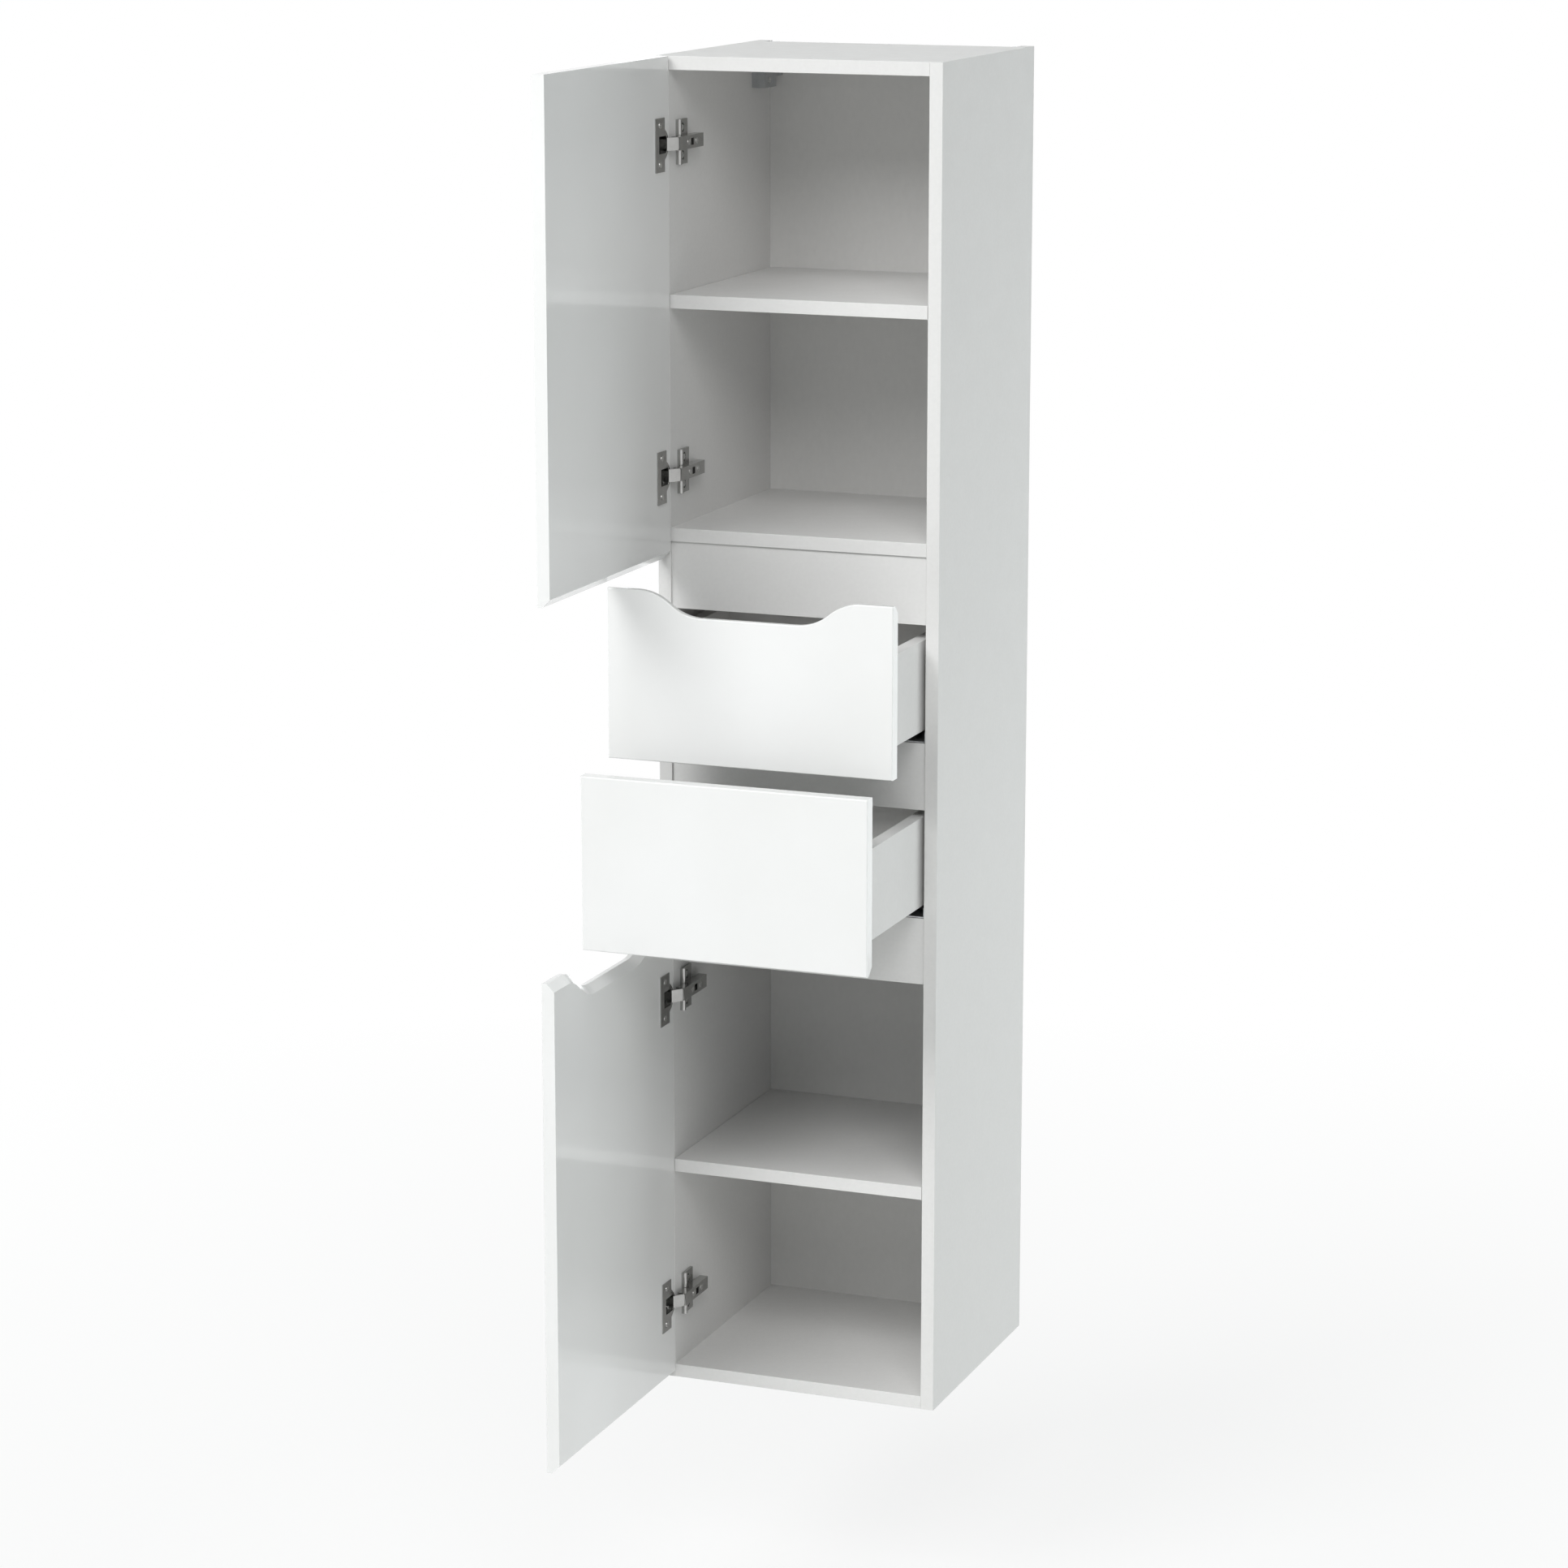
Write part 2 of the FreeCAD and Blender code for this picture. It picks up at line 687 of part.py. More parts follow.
arm_screw_holes = arm_screw_rod("ArmScrewHole", S.screw_head_radius + S.fit_clearance)
plate_blank = joined("PlateBlank", [
    hinge_block("PlateWing", (0, S.plate_thickness), (S.plate_start, plate_end), S.plate_height),
    hinge_block("PlateBoss", (0, web_under), (S.plate_start, boss_end), arm_inside - S.arm_lift),
    rib,
])
hinge_plate = minus("HingePlate", plate_blank, plate_slots + arm_screw_holes + [arm_slot])
arm_blank = minus(
    "ArmChannel",
    hinge_block("ArmBlank", (arm_bottom, S.arm_rise), (S.arm_start, arm_end), S.arm_height),
    [hinge_block("ArmInside", (arm_bottom, web_under), (S.arm_start, arm_end - S.arm_sheet), arm_inside)],
)
hinge_arm = minus("HingeArm", arm_blank, arm_screw_holes + [arm_slot])
arm_drives = []
for y in (S.arm_screw_front, S.arm_screw_back):
    drive_place = (front + y, 0)
    drive_top = -inner + arm_screw_start + arm_screw_length
    arm_drives.append(cross_drive("ArmScrewSlot", "x", drive_top, drive_place))
arm_screw_rods = group("ArmScrewRods", arm_screw_rod("ArmScrew", S.screw_head_radius))
arm_screws = minus("ArmScrews", arm_screw_rods, arm_drives)

# Neck: a bent strip from under the arm to the barrel inside the cup

half_strip = S.neck_thickness / 2
tail_x = -inner + web_under - half_strip
tail_y = front + S.arm_start - half_strip
bend_x = pivot_x + S.pivot_depth + S.neck_reach
slope_x = tail_x - bend_x
slope_y = tail_y - pivot_y
slope_length = root(slope_x * slope_x + slope_y * slope_y)
slope_z = around(ZERO, S.neck_height)
leg_heights = around(ZERO, S.neck_leg_height)
tail_heights = around(ZERO, arm_inside - S.arm_lift)
barrel_radius = S.pivot_radius + S.pivot_play + S.barrel_wall
slope = block("NeckSlope", (0, slope_length), (0, S.neck_thickness), slope_z)
slope_side_x = half_strip * slope_y / slope_length
slope_side_y = half_strip * slope_x / slope_length
put(slope, bend_x + slope_side_x, pivot_y - slope_side_y, slope_z[0])
slope.setExpression("Placement.Rotation.Angle", "atan2(%s; %s)" % (slope_y.text, slope_x.text))
neck_blank = joined("NeckBlank", [
    block("NeckTail", around(tail_x, S.neck_thickness), (tail_y, tail_y + S.neck_tail), tail_heights),
    rod("NeckTailBend", half_strip, "z", (tail_x, tail_y, tail_heights[0]), arm_inside - S.arm_lift),
    slope,
    rod("NeckBend", half_strip, "z", (bend_x, pivot_y, slope_z[0]), S.neck_height),
    block("NeckLeg", (pivot_x, bend_x), around(pivot_y, S.neck_thickness), leg_heights),
    rod("NeckBarrel", barrel_radius, "z", (pivot_x, pivot_y, leg_heights[0]), S.neck_leg_height),
])
barrel_bore = rod("BarrelBore", S.pivot_radius + S.pivot_play, "z", (pivot_x, pivot_y, leg_heights[0]),
                  S.neck_leg_height)
hinge_neck = minus("HingeNeck", neck_blank, [barrel_bore])

for door, heights in (("upper", upper_hinges), ("lower", lower_hinges)):
    places = [(0, 0, z) for z in heights]
    for label, piece in (("plates", hinge_plate), ("arms", hinge_arm), ("necks", hinge_neck)):
        node("%s_hinge_%s" % (door, label), group(door + label, copies(door + label + "At", piece, places)))
all_hinges = [(0, 0, z) for z in hinge_heights]
node("hinge_adjusting_screws", group("AdjustingScrews", copies("AdjustingScrewsAt", arm_screws, all_hinges)))
plate_heads = [(x + S.plate_floor, y, z) for x, y, z in plate_screw_places]
node("hinge_plate_screws", group("PlateScrews", copies("PlateScrew", side_screw, plate_heads)))


# Fronts: made lying in X and Z from their lower left corner, outer face at Y 0

def origin_plane(body, role):
    return [feature for feature in body.Origin.OriginFeatures if feature.Role == role][0]


def arc_through(start, end, radius, bulge):
    """Anticlockwise arc between two points, swelling to one side of the way from start to end."""
    chord = end - start
    middle = (start + end) / 2
    sag = radius - math.sqrt(radius * radius - (chord.Length / 2) ** 2)
    rightward = FreeCAD.Vector(chord.y, -chord.x, 0).normalize()
    crown = middle + rightward * (bulge * sag)
    return Part.Arc(start, crown, end) if bulge == RIGHTWARD else Part.Arc(end, crown, start)


def outline(body, corners):
    """Closed sketch in X and Z. A corner is x, z and, where an arc leaves it, its radius and bulge."""
    sketch = body.newObject("Sketcher::SketchObject", "Outline")
    sketch.AttachmentSupport = [(origin_plane(body, "XZ_Plane"), "")]
    sketch.MapMode = "FlatFace"
    points = [FreeCAD.Vector(as_size(corner[0]).number, as_size(corner[1]).number, 0) for corner in corners]
    edges = []
    for corner, start, end in zip(corners, points, points[1:] + points[:1]):
        if len(corner) == 2:
            edges.append((sketch.addGeometry(Part.LineSegment(start, end), False), 1, 2))
            continue
        arc = sketch.addGeometry(arc_through(start, end, corner[2].number, corner[3]), False)
        edges.append((arc, 1, 2) if corner[3] == RIGHTWARD else (arc, 2, 1))
        bind_constraint(sketch, Sketcher.Constraint("Radius", arc, corner[2].number), corner[2])
    for corner, edge, before in zip(corners, edges, edges[-1:] + edges[:-1]):
        sketch.addConstraint(Sketcher.Constraint("Coincident", before[0], before[2], edge[0], edge[1]))
        for kind, size in zip(("DistanceX", "DistanceY"), corner):
            size = as_size(size)
            bind_constraint(sketch, Sketcher.Constraint(kind, -1, 1, edge[0], edge[1], size.number), size)
    return sketch


def bind_constraint(sketch, constraint, size):
    bind(sketch, "Constraints[%d]" % sketch.addConstraint(constraint), size)


def wave_corners(width, height):
    """Top edge from right to left: high ends, S curves of two arcs and a low middle."""
    run = S.wave_run
    deep = S.wave_depth
    radius = (run * run + deep * deep) / (4 * deep)
    right = width - S.wave_end
    left = S.wave_end
    return [
        (right, height, radius, RIGHTWARD),
        (right - run / 2, height - deep / 2, radius, LEFTWARD),
        (right - run, height - deep),
        (left + run, height - deep, radius, LEFTWARD),
        (left + run / 2, height - deep / 2, radius, RIGHTWARD),
        (left, height),
    ]


def edge_names(shape, wanted):
    return ["Edge%d" % index for index, edge in enumerate(shape.Edges, start=1) if wanted(edge)]


def lies_at(edge, depth):
    return all(abs(vertex.Point.y - depth) < SMALL for vertex in edge.Vertexes)


def dress(body, kind, base, names, size_path, size):
    feature = body.newObject("PartDesign::" + kind, kind)
    feature.Base = (base, names)
    bind(feature, size_path, size)
    doc.recompute()
    return feature


def front_board(name, height, waved, bevelled_edges):
    """Front with rounded outer edges; its top or bottom may be bevelled behind."""
    body = doc.addObject("PartDesign::Body", name)
    corners = [(0, 0), (front_width, 0), (front_width, height)]
    corners += wave_corners(front_width, height) if waved else []
    corners.append((0, height))
    pad = body.newObject("PartDesign::Pad", "Pad")
    pad.Profile = outline(body, corners)
    pad.Reversed = True
    bind(pad, "Length", S.front_thickness)
    doc.recompute()
    inner_face = S.front_thickness.number
    middle = height.number / 2

    def is_bevelled(edge):
        upright = abs(edge.tangentAt(edge.FirstParameter).z) > 1 - SMALL
        which = "top" if edge.CenterOfMass.z > middle else "bottom"
        return lies_at(edge, inner_face) and not upright and which in bevelled_edges

    tip = pad
    if bevelled_edges:
        tip = dress(body, "Chamfer", tip, edge_names(tip.Shape, is_bevelled), "Size", S.bevel)
    dress(body, "Fillet", tip, edge_names(tip.Shape, lambda edge: lies_at(edge, 0)), "Radius", S.edge_round)
    return body


def hang(thing, height):
    """Place a piece that was made as part of a closed door where the open door has it."""
    thing.Placement = FreeCAD.Placement(FreeCAD.Vector(), OPEN_DOOR_TURN)
    return put(thing, open_door_x, open_door_y, height)


# Hinge cup in the door, its mouth in the door's inner face

cup_depth = S.pivot_depth + barrel_radius + S.barrel_clearance + S.cup_wall
cup_middle = S.cup_edge + S.cup_radius
cup_floor = S.front_thickness - cup_depth
flange_top = S.front_thickness + S.flange_thickness
flange_middle = cup_middle + S.flange_offset
flange_y = (S.front_thickness, flange_top)
flange_seat = S.front_thickness + S.flange_floor
mouth_start = S.pivot_edge - S.mouth_margin
mouth_x = (mouth_start, mouth_start + S.mouth_width)
ear_gap = S.neck_leg_height + S.barrel_clearance
ear_x = (S.pivot_edge - S.ear_margin, S.pivot_edge + S.ear_margin)
ear_y = (cup_floor, S.front_thickness - S.pivot_depth + S.ear_margin)
pin_length = ear_gap + 2 * S.ear_thickness
pin_start = (S.pivot_edge, S.front_thickness - S.pivot_depth, -pin_length / 2)
cup_blank = joined("CupBlank", [
    rod("CupOutside", S.cup_radius, "y", (cup_middle, cup_floor, 0), cup_depth),
    rod("CupRim", S.cup_radius + S.flange_rim, "y", (cup_middle, S.front_thickness, 0), S.flange_thickness),
    block("CupFlange", around(flange_middle, S.flange_width), flange_y, around(ZERO, S.flange_height)),
])
cup_inside = rod("CupInside", S.cup_radius - S.cup_wall, "y", (cup_middle, cup_floor + S.cup_wall, 0),
                 cup_depth - S.cup_wall)
cup_mouth = block("CupMouth", mouth_x, flange_y, around(ZERO, S.mouth_height))
ears = []
for low in (-pin_length / 2, ear_gap / 2):
    ears.append(block("CupEar", ear_x, ear_y, (low, low + S.ear_thickness)))
flange_screw_places = [(flange_middle, flange_seat, z) for z in around(ZERO, S.flange_screw_spacing)]
head_radius = S.screw_head_radius + S.fit_clearance
head_recess = rod("HeadRecess", head_radius, "y", (0, 0, 0), S.flange_thickness)
head_recesses = copies("HeadRecessAt", head_recess, flange_screw_places)
cup_screw = screw("CupScrew", "y")
cup_pilots = copies("CupPilotAt", pilot("CupPilot", "y"), flange_screw_places)
cup_shell = joined("CupShell", [minus("CupHollow", cup_blank, [cup_inside, cup_mouth])] + ears)
pin_hole = rod("PinHole", S.pivot_radius + S.pivot_play / 2, "z", pin_start, pin_length)
hinge_cup = minus("HingeCup", cup_shell, [pin_hole] + cup_pilots + head_recesses)
hinge_pin = rod("HingePin", S.pivot_radius, "z", pin_start, pin_length)
cup_screws = group("CupScrewPair", copies("CupScrewAt", cup_screw, flange_screw_places))
cup_bore = rod("CupBore", S.cup_radius + S.cup_clearance, "y",
               (cup_middle, cup_floor - S.cup_clearance, 0), cup_depth + S.cup_clearance)
door_cut = group("DoorCut", [cup_bore] + cup_pilots)
door_bevels = {"upper": ("bottom",), "lower": ("bottom", "top")}
door_bottoms = {"upper": upper_door_bottom, "lower": bottom}
local_hinges = [(0, 0, S.hinge_inset), (0, 0, door_height - S.hinge_inset)]

for door, height in door_bottoms.items():
    board = hang(front_board(door + "DoorBoard", door_height, door == "lower", door_bevels[door]), height)
    cuts = hang(group(door + "DoorCuts", copies(door + "DoorCut", door_cut, local_hinges)), height)
    node(door + "_door", minus(door + "Door", board, [cuts]))
    for label, piece in (("hinge_cups", hinge_cup), ("hinge_pins", hinge_pin), ("cup_screws", cup_screws)):
        pair = group(door + label, copies(door + label + "At", piece, local_hinges))
        node("%s_%s" % (door, label), hang(pair, height))


# Drawers on telescopic runners

def profile_bars(name, bars, ys, base):
    """Bars of a runner's section: each gives its sizes from the side panel and from the base."""
    blocks = []
    for low, high, under, over in bars:
        blocks.append(block(name, (-inner + low, -inner + high), ys, (base + under, base + over)))
    return joined(name + "Section", blocks)


def channel_bars(open_edge, closed_edge, lip_edges):
    """Two walls, a web and two lips of a channel, between its open and closed edges."""
    near = S.runner_offset
    far = near + S.runner_width
    walls = tuple(sorted((open_edge, closed_edge), key=lambda size: size.number))
    return [
        (near, near + S.runner_sheet) + walls,
        (far - S.runner_sheet, far) + walls,
        (near, near + S.runner_lip) + lip_edges,
        (far - S.runner_lip, far) + lip_edges,
    ]


runner_far = S.runner_offset + S.runner_width
flight_x = (S.runner_offset + S.runner_sheet + S.runner_play, runner_far - S.runner_sheet - S.runner_play)
web_x = around(S.runner_offset + S.runner_width / 2, S.runner_web)
low_flight = (S.runner_sheet + S.runner_play, S.runner_sheet + S.runner_play + S.runner_flight)
high_flight = (S.runner_height - low_flight[1], S.runner_height - low_flight[0])
low_lip = (low_flight[1] + S.runner_play, low_flight[1] + S.runner_play + S.runner_sheet)
high_lip = (S.runner_height - low_lip[1], S.runner_height - low_lip[0])
fixed_bars = channel_bars(ZERO, low_lip[1], low_lip) + [
    (ZERO, runner_far, ZERO, S.runner_sheet),
    (ZERO, S.runner_sheet, ZERO, S.runner_flange),
]
slide_bars = [flight_x + low_flight, flight_x + high_flight, web_x + (low_flight[0], high_flight[1])]
carrier_bars = channel_bars(high_lip[0], S.runner_height, high_lip) + [
    (S.runner_offset, runner_far, S.runner_height - S.runner_sheet, S.runner_height),
]


def drawer(name, front_bottom, front_height, waved, bevelled_edges, side_top, extension):
    """One drawer with its runners, pulled out by its extension."""
    box_start = front - door_gap - extension
    box_end = drawer_end - extension
    side_bottom = front_bottom + S.drawer_lift
    base = drawer_base(front_bottom)
    floor = base + S.drawer_bottom
    outside = inner - S.drawer_clearance
    inside = outside - S.drawer_board
    board_middle = outside - S.drawer_board / 2
    heights = (floor + S.dowel_inset, side_top - S.dowel_inset)

    front_dowels = [(-board_middle, box_start, z) for z in heights]
    back_dowels = [(-inside, box_end - S.drawer_board / 2, z) for z in heights]
    pegs = copies(name + "FrontDowel", dowel_y, front_dowels)
    pegs += copies(name + "BackDowel", dowel_x, back_dowels)
    holes = copies(name + "FrontHole", dowel_y_hole, front_dowels)
    holes += copies(name + "BackHole", dowel_x_hole, back_dowels)
    node(name + "_drawer_dowels", both_sides(name + "Pegs", group(name + "PegsLeft", pegs)))
    left_holes = group(name + "HolesLeft", holes)
    all_holes = both_sides(name + "Holes", left_holes)

    board = front_board(name + "FrontBoard", front_height, waved, bevelled_edges)
    put(board, -half + S.front_reveal, box_start - S.front_thickness, front_bottom)
    node(name + "_drawer_front", minus(name + "Front", board, [all_holes]))

    side_z = (side_bottom, side_top)
    side_blank = eased_board(name + "SideBlank", (-outside, -inside), (box_start, box_end), side_z, "y", "+z")
    side_groove = block(
        name + "SideGroove",
        (-inside - S.drawer_groove, -inside),
        (box_start, box_end),
        (base - S.fit_clearance, floor + S.fit_clearance),
    )
    side = minus(name + "Side", side_blank, [left_holes, side_groove])
    node(name + "_drawer_left_side", side)
    node(name + "_drawer_right_side", mirrored(name + "RightSide", side))
    back_y = (box_end - S.drawer_board, box_end)
    back_blank = eased_board(name + "BackBlank", (-inside, inside), back_y, (floor, side_top), "x", "+z")
    node(name + "_drawer_back", minus(name + "Back", back_blank, [all_holes]))
    reach = inside + S.drawer_groove - S.groove_clearance
    bottom_board = block(name + "Bottom", (-reach, reach), (box_start, box_end), (base, floor))
    node(name + "_drawer_bottom", bottom_board)

    runner_z = base - S.runner_height
    clip_x = (-inner + S.runner_offset, -inner + runner_far)
    clip_end = box_start + S.clip_length
    clip_blank = block(name + "ClipBlank", clip_x, (box_start, clip_end), (base - S.clip_height, base))
    notch_x = around(-inner + S.runner_offset + S.runner_width / 2, S.runner_width - 2 * S.clip_notch)
    notch_y = (box_start + S.clip_notch, clip_end)
    notch_z = (base - S.clip_height, base - S.clip_notch)
    clip = minus(name + "Clip", clip_blank, [block(name + "ClipNotch", notch_x, notch_y, notch_z)])
    node(name + "_drawer_clips", both_sides(name + "Clips", clip))
    carrier = profile_bars(name + "Carrier", carrier_bars, (clip_end, box_end), runner_z)
    node(name + "_drawer_runners", both_sides(name + "Carriers", carrier))

    slide_y = (front + S.slide_start - extension / 2, slide_end - extension / 2)
    slide = profile_bars(name + "Slide", slide_bars, slide_y, runner_z)
    node(name + "_middle_slides", both_sides(name + "Slides", slide))
    fixed = profile_bars(name + "Fixed", fixed_bars, (front + S.runner_start, runner_end), runner_z)
    fixed = minus(name + "FixedDrilled", fixed, [fixed_holes])
    node(name + "_cabinet_runners", both_sides(name + "Fixeds", fixed))


runner_heads = [(x + S.runner_sheet, y, z) for x, y, z in runner_screw_places]
fixed_holes = group("FixedHoles", copies("FixedHole", side_pilot, runner_heads))
node("runner_screws", both_sides("RunnerScrews", group("RunnerScrewsLeft", copies(
    "RunnerScrew", side_screw, runner_heads))))
rail_bottoms = {label: rail_top - S.rail_height for label, rail_top in rail_tops}
upper_side_top = rail_bottoms["upper_front_rail"] - S.upper_headroom
lower_side_top = rail_bottoms["middle_front_rail"] - S.lower_headroom
upper_fit = (upper_side_top, S.upper_extension)
lower_fit = (lower_side_top, S.lower_extension)
drawer("upper", upper_front_bottom, S.upper_front_height, True, ("top",), *upper_fit)
drawer("lower", lower_front_bottom, S.lower_front_height, False, ("bottom",), *lower_fit)

# Recompute, check and write every piece

doc.recompute()
failed = [thing.Name for thing in doc.Objects if "Invalid" in thing.State or "Error" in thing.State]
if failed:
    raise RuntimeError("not built: " + ", ".join(failed))
for thing in nodes:
    if thing.Shape.isNull() or not thing.Shape.isValid() or not thing.Shape.Solids:
        raise RuntimeError("no valid solid: " + thing.Label)
os.makedirs("parts", exist_ok=True)
for thing in nodes:
    thing.Shape.exportStep("parts/%s.step" % thing.Label)
print("%d pieces written" % len(nodes))
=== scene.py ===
"""Looks of the wall-mounted tall cabinet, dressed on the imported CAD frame.

Lengths are metres in the row's frame: +X to the right seen from the room, +Y to the wall, +Z up.
"""
import json
import math

import bmesh
import bpy
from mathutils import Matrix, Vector


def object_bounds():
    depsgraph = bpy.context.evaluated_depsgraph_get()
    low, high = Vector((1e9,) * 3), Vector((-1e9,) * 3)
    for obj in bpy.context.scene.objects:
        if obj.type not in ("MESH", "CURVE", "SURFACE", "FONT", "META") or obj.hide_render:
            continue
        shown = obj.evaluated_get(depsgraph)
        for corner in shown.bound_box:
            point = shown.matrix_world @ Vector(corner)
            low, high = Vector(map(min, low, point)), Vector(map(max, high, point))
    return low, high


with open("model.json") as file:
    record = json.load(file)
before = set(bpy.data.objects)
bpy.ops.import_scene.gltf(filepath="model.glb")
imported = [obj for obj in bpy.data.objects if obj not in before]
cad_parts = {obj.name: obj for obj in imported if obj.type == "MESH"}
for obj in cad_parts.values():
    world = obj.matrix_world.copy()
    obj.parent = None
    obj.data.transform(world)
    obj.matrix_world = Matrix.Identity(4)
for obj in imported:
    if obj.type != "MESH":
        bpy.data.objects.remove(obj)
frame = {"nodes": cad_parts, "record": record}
cad_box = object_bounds()

# Camera, at the photograph's viewing angle, with angles in degrees
CAMERA_PLACE = (1.8756, -5.2283, 0.3484)
CAMERA_YAW = 21.12
CAMERA_PITCH = 12.54
CAMERA_LENS_MM = 104.85
CAMERA_SENSOR_MM = 36.0
# Tilt of a camera that looks level, since one without tilt looks straight down
LEVEL_TILT = 90.0

# Light: each level is what a white surface that faces the lamp gives back
WORLD_LEVEL = 0.29
WORLD_COLOUR = (0.93, 0.99, 1.0, 1.0)
WHITE_LEVEL = 1.0
WHITE = (1.0, 1.0, 1.0, 1.0)
# Power of a square lamp for a level of 1 at 1 m
WATTS_PER_LEVEL = 4.0 * math.pi
KEY_COLOUR = (1.0, 1.0, 1.0)
FILL_COLOUR = (0.95, 1.0, 1.0)
# name: azimuth and elevation in degrees, distance, side length, level, colour
SOFTBOXES = {
    "left_key": (-22.0, 38.0, 8.0, 3.6, 0.415, KEY_COLOUR),
    "right_key": (25.0, 38.0, 8.0, 3.6, 0.25, KEY_COLOUR),
    "right_fill": (115.0, -10.0, 2.6, 1.2, 0.175, FILL_COLOUR),
    "left_fill": (-115.0, -6.0, 3.0, 2.0, 0.17, FILL_COLOUR),
    "rear_fill": (180.0, 0.0, 3.0, 3.0, 0.16, FILL_COLOUR),
}

# Floor, below the hung cabinet
FLOOR_DROP = 0.28
FLOOR_RADIUS = 6.0
FLOOR_EDGES = 96
FLOOR_COLOUR = (0.90, 0.90, 0.89, 1.0)
FLOOR_GLOW = 0.78
FLOOR_FADE_START = 0.9
FLOOR_FADE_END = 2.8

# Noise stays within these values nearly everywhere
NOISE_LOW = 0.3
NOISE_HIGH = 0.7


class Finish:
    """A material with a Principled shader, and short ways to add varied detail to it."""

    def __init__(self, name, **constants):
        self.material = bpy.data.materials.new(name)
        self.material.use_nodes = True
        self.nodes = self.material.node_tree.nodes
        self.links = self.material.node_tree.links
        self.shader = self.nodes["Principled BSDF"]
        for socket, value in constants.items():
            self.shader.inputs[socket.replace("_", " ")].default_value = value
        self.place = self.nodes.new("ShaderNodeTexCoord").outputs["Object"]

    def stretched(self, stretch):
        """The place on the object, scaled by a factor on each axis."""
        scaled = self.nodes.new("ShaderNodeVectorMath")
        scaled.operation = "MULTIPLY"
        scaled.inputs[1].default_value = stretch
        self.links.new(self.place, scaled.inputs[0])
        return scaled.outputs[0]

    def noise(self, size, detail=2.0, stretch=None):
        """Noise whose features are about the given size across."""
        texture = self.nodes.new("ShaderNodeTexNoise")
        texture.inputs["Scale"].default_value = 1.0 / size
        texture.inputs["Detail"].default_value = detail
        self.links.new(self.stretched(stretch) if stretch else self.place, texture.inputs["Vector"])
        return texture.outputs[0]

    def flakes(self, size):
        """Cells of one value each, about the given size across."""
        texture = self.nodes.new("ShaderNodeTexVoronoi")
        texture.inputs["Scale"].default_value = 1.0 / size
        self.links.new(self.place, texture.inputs["Vector"])
        return texture.outputs["Color"]

    def ranged(self, value, low, high):
        """A value taken from the noise's range to another."""
        spread = self.nodes.new("ShaderNodeMapRange")
        spread.inputs["From Min"].default_value = NOISE_LOW
        spread.inputs["From Max"].default_value = NOISE_HIGH
        spread.inputs["To Min"].default_value = low
        spread.inputs["To Max"].default_value = high
        self.links.new(value, spread.inputs["Value"])
        return spread.outputs[0]

    def tint(self, value, dark, light):
        """Colours the surface between two colours, by a value."""
        mix = self.nodes.new("ShaderNodeMix")
        mix.data_type = "RGBA"
        mix.inputs["A"].default_value = (*dark, 1.0)
        mix.inputs["B"].default_value = (*light, 1.0)
        self.links.new(self.ranged(value, 0.0, 1.0), mix.inputs["Factor"])
        self.links.new(mix.outputs["Result"], self.shader.inputs["Base Color"])

    def roughness(self, value, low, high):
        """Makes the surface rougher or smoother between two bounds, by a value."""
        self.links.new(self.ranged(value, low, high), self.shader.inputs["Roughness"])

    def bump(self, height, depth):
        """Adds relief of the given depth."""
        relief = self.nodes.new("ShaderNodeBump")
        relief.inputs["Distance"].default_value = depth
        self.links.new(height, relief.inputs["Height"])
        self.links.new(relief.outputs["Normal"], self.shader.inputs["Normal"])


def front_gloss():
    """White high-gloss lacquer: faint orange peel, faint wipe marks."""
    finish = Finish("white_gloss_lacquer", Coat_Weight=0.4, Coat_Roughness=0.03)
    finish.tint(finish.noise(size=0.18), dark=(0.835, 0.835, 0.825), light=(0.865, 0.865, 0.86))
    finish.roughness(finish.noise(size=0.05, detail=4.0, stretch=(1.0, 1.0, 0.35)), low=0.10, high=0.18)
    finish.bump(finish.noise(size=0.0045), depth=0.00003)
    return finish.material


def carcass_board():
    """White satin melamine: paper mottle and a fine pressed pearl texture."""
    finish = Finish("white_melamine", Specular_IOR_Level=0.3)
    mottle = finish.noise(size=0.004, detail=3.0)
    finish.tint(mottle, dark=(0.738, 0.732, 0.722), light=(0.758, 0.752, 0.742))
    finish.roughness(finish.noise(size=0.02, detail=3.0), low=0.46, high=0.58)
    finish.bump(finish.noise(size=0.0012, detail=1.0), depth=0.00001)
    return finish.material


def thin_board():
    """White lacquered fibreboard: short fibres show faintly through the lacquer."""
    finish = Finish("white_fibreboard", Specular_IOR_Level=0.3)
    fibres = finish.noise(size=0.006, detail=4.0, stretch=(1.0, 1.0, 0.6))
    finish.tint(fibres, dark=(0.722, 0.715, 0.703), light=(0.742, 0.735, 0.723))
    finish.roughness(finish.noise(size=0.015), low=0.48, high=0.60)
    finish.bump(finish.noise(size=0.0018, detail=3.0, stretch=(1.0, 1.0, 0.6)), depth=0.00001)
    return finish.material


def hinge_nickel():
    """Nickel plate on pressed steel: faint draw lines and handling haze."""
    finish = Finish("nickel_plate", Metallic=1.0)
    finish.tint(finish.noise(size=0.012), dark=(0.43, 0.43, 0.42), light=(0.47, 0.47, 0.46))
    finish.roughness(finish.noise(size=0.004, stretch=(1.0, 0.3, 1.0)), low=0.20, high=0.26)
    finish.bump(finish.noise(size=0.0012, stretch=(1.0, 0.2, 1.0)), depth=0.000001)
    return finish.material


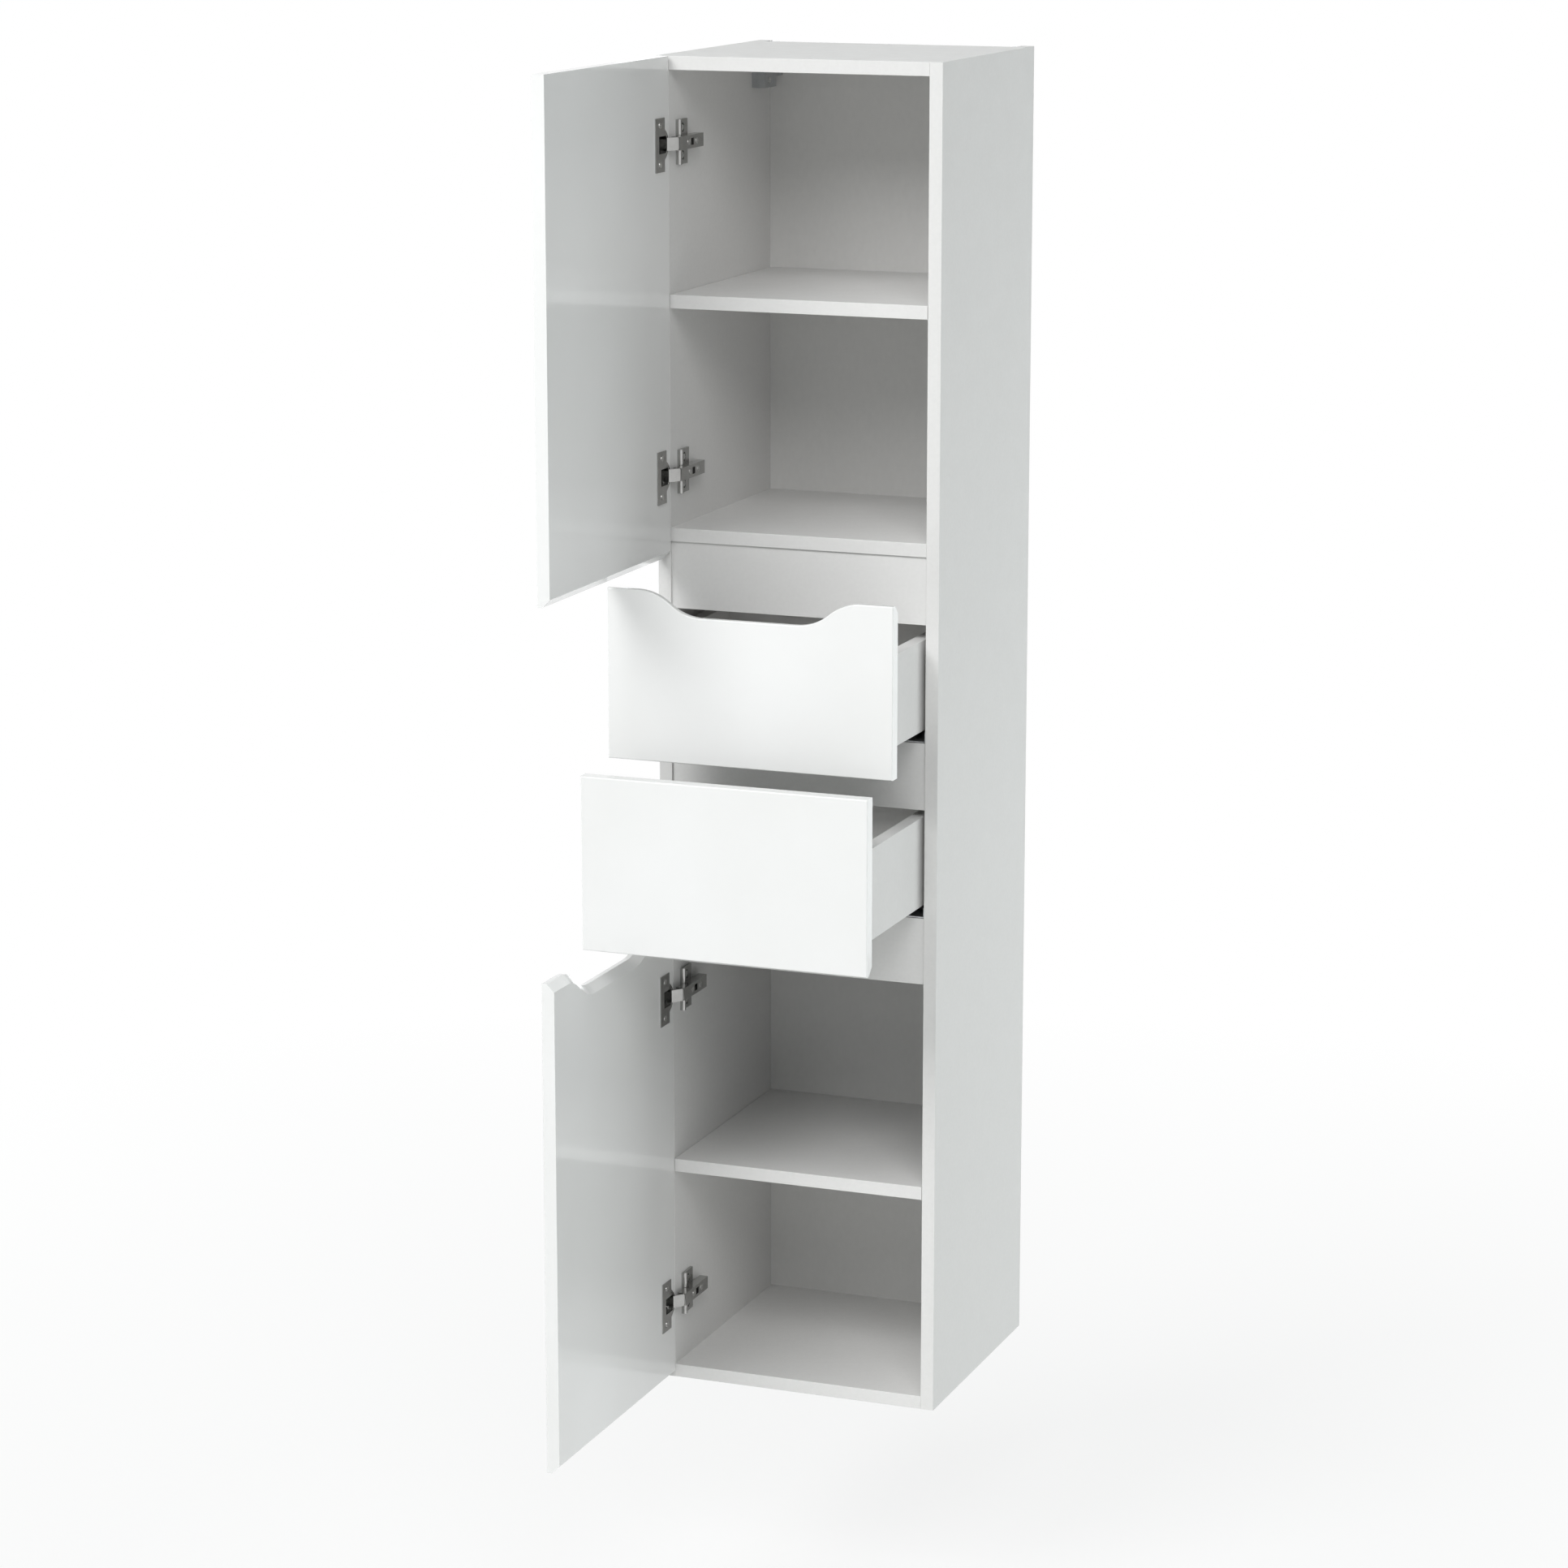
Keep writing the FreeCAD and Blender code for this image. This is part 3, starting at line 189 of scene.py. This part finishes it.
def runner_zinc():
    """Zinc plate on rolled steel: fine spangle and lines along the roll."""
    finish = Finish("zinc_plate", Metallic=1.0)
    finish.tint(finish.flakes(size=0.004), dark=(0.46, 0.47, 0.48), light=(0.56, 0.57, 0.58))
    lines = finish.noise(size=0.0015, detail=3.0, stretch=(1.0, 0.05, 1.0))
    finish.roughness(lines, low=0.28, high=0.44)
    finish.bump(finish.noise(size=0.0006, stretch=(1.0, 0.05, 1.0)), depth=0.00001)
    return finish.material


def screw_steel():
    """Bright plated screws, with a little tool haze."""
    finish = Finish("screw_plate", Metallic=1.0)
    finish.tint(finish.noise(size=0.002, detail=3.0), dark=(0.54, 0.54, 0.53), light=(0.68, 0.68, 0.67))
    finish.roughness(finish.noise(size=0.001, detail=3.0), low=0.20, high=0.36)
    finish.bump(finish.noise(size=0.0005), depth=0.00001)
    return finish.material


def moulded_plastic(name, dark, light):
    """Moulded plastic: spark-eroded grain and slight flow marks."""
    finish = Finish(name)
    finish.tint(finish.noise(size=0.012, detail=3.0, stretch=(1.0, 1.0, 0.4)), dark, light)
    finish.roughness(finish.noise(size=0.003), low=0.42, high=0.58)
    finish.bump(finish.noise(size=0.0005, detail=1.0), depth=0.00003)
    return finish.material


def dowel_wood():
    """Beech: fine grain with short dark flecks."""
    finish = Finish("beech")
    grain = finish.noise(size=0.0012, detail=4.0, stretch=(0.2, 0.2, 1.0))
    finish.tint(grain, dark=(0.52, 0.36, 0.21), light=(0.76, 0.59, 0.40))
    finish.roughness(finish.noise(size=0.002), low=0.50, high=0.70)
    finish.bump(finish.noise(size=0.0005, detail=3.0, stretch=(0.2, 0.2, 1.0)), depth=0.00004)
    return finish.material


def dress_frame():
    """Gives every CAD node the finish of its material slot."""
    finishes = {
        "front_gloss": front_gloss(),
        "carcass_board": carcass_board(),
        "thin_board": thin_board(),
        "hinge_nickel": hinge_nickel(),
        "runner_zinc": runner_zinc(),
        "screw_steel": screw_steel(),
        "hanger_plastic": moulded_plastic("grey_plastic", (0.36, 0.37, 0.38), (0.44, 0.45, 0.46)),
        "pin_plastic": moulded_plastic("pale_plastic", (0.70, 0.70, 0.69), (0.78, 0.78, 0.77)),
        "dowel_wood": dowel_wood(),
    }
    for row in frame["record"]["subparts"]:
        for slot in frame["nodes"][row["node"]].material_slots:
            slot.material = finishes[row["material_slot"]]


def seen_directly(nodes, links):
    """1 for rays from the camera, a mirror or a glass, 0 for rays that light the object."""
    path = nodes.new("ShaderNodeLightPath")
    shown = path.outputs["Is Camera Ray"]
    for other in ("Is Glossy Ray", "Is Transmission Ray"):
        either = nodes.new("ShaderNodeMath")
        either.operation = "MAXIMUM"
        links.new(shown, either.inputs[0])
        links.new(path.outputs[other], either.inputs[1])
        shown = either.outputs[0]
    return shown


def floor_material():
    """Pale floor that shows as white where no shadow falls, and fades to plain white further out."""
    material = bpy.data.materials.new("pale_floor")
    material.use_nodes = True
    nodes = material.node_tree.nodes
    links = material.node_tree.links
    nodes.clear()
    matt = nodes.new("ShaderNodeBsdfDiffuse")
    matt.inputs["Color"].default_value = FLOOR_COLOUR
    glow = nodes.new("ShaderNodeEmission")
    glow.inputs["Strength"].default_value = WHITE_LEVEL
    place = nodes.new("ShaderNodeTexCoord")
    reach = nodes.new("ShaderNodeVectorMath")
    reach.operation = "LENGTH"
    links.new(place.outputs["Object"], reach.inputs[0])
    share = nodes.new("ShaderNodeMapRange")
    share.inputs["From Min"].default_value = FLOOR_FADE_START
    share.inputs["From Max"].default_value = FLOOR_FADE_END
    share.inputs["To Min"].default_value = FLOOR_GLOW
    share.inputs["To Max"].default_value = 1.0
    links.new(reach.outputs["Value"], share.inputs["Value"])
    shown = nodes.new("ShaderNodeMath")
    shown.operation = "MULTIPLY"
    links.new(seen_directly(nodes, links), shown.inputs[0])
    links.new(share.outputs[0], shown.inputs[1])
    mix = nodes.new("ShaderNodeMixShader")
    links.new(shown.outputs[0], mix.inputs["Fac"])
    links.new(matt.outputs[0], mix.inputs[1])
    links.new(glow.outputs[0], mix.inputs[2])
    output = nodes.new("ShaderNodeOutputMaterial")
    links.new(mix.outputs[0], output.inputs["Surface"])
    return material


def lay_floor(middle, lowest):
    """A round floor below the cabinet."""
    mesh = bpy.data.meshes.new("floor")
    shape = bmesh.new()
    bmesh.ops.create_circle(shape, cap_ends=True, segments=FLOOR_EDGES, radius=FLOOR_RADIUS)
    shape.to_mesh(mesh)
    shape.free()
    floor = bpy.data.objects.new("floor", mesh)
    floor.location = (middle.x, middle.y, lowest - FLOOR_DROP)
    mesh.materials.append(floor_material())
    bpy.context.scene.collection.objects.link(floor)


def light_world():
    """An even pale surround, which is plain white where it is seen directly or in a reflection."""
    world = bpy.data.worlds.new("studio")
    world.use_nodes = True
    bpy.context.scene.world = world
    nodes = world.node_tree.nodes
    links = world.node_tree.links
    nodes.clear()
    surround = nodes.new("ShaderNodeBackground")
    surround.inputs["Strength"].default_value = WORLD_LEVEL
    surround.inputs["Color"].default_value = WORLD_COLOUR
    backdrop = nodes.new("ShaderNodeBackground")
    backdrop.inputs["Strength"].default_value = WHITE_LEVEL
    backdrop.inputs["Color"].default_value = WHITE
    mix = nodes.new("ShaderNodeMixShader")
    links.new(seen_directly(nodes, links), mix.inputs["Fac"])
    links.new(surround.outputs[0], mix.inputs[1])
    links.new(backdrop.outputs[0], mix.inputs[2])
    output = nodes.new("ShaderNodeOutputWorld")
    links.new(mix.outputs[0], output.inputs["Surface"])


def hang_softbox(name, middle, azimuth, elevation, distance, side, level, colour):
    """A square lamp that faces the object's middle. Azimuth 0 is in front and 90 to the right."""
    turn = math.radians(azimuth)
    rise = math.radians(elevation)
    outward = Vector((math.sin(turn) * math.cos(rise), -math.cos(turn) * math.cos(rise), math.sin(rise)))
    light = bpy.data.lights.new(name, "AREA")
    light.shape = "SQUARE"
    light.size = side
    light.color = colour
    light.energy = level * WATTS_PER_LEVEL * distance ** 2
    lamp = bpy.data.objects.new(name, light)
    lamp.location = middle + outward * distance
    lamp.rotation_euler = (-outward).to_track_quat("-Z", "Y").to_euler()
    bpy.context.scene.collection.objects.link(lamp)


def place_camera():
    """A camera that looks down at the cabinet from the front right."""
    camera = bpy.data.cameras.new("camera")
    camera.sensor_width = CAMERA_SENSOR_MM
    camera.lens = CAMERA_LENS_MM
    holder = bpy.data.objects.new("camera", camera)
    holder.location = CAMERA_PLACE
    holder.rotation_euler = (math.radians(LEVEL_TILT - CAMERA_PITCH), 0.0, math.radians(CAMERA_YAW))
    bpy.context.scene.collection.objects.link(holder)
    bpy.context.scene.camera = holder


low, high = cad_box
middle = (low + high) / 2
dress_frame()
lay_floor(middle, low.z)
light_world()
for name, settings in SOFTBOXES.items():
    hang_softbox(name, middle, *settings)
place_camera()
bpy.context.scene.view_settings.view_transform = "Standard"
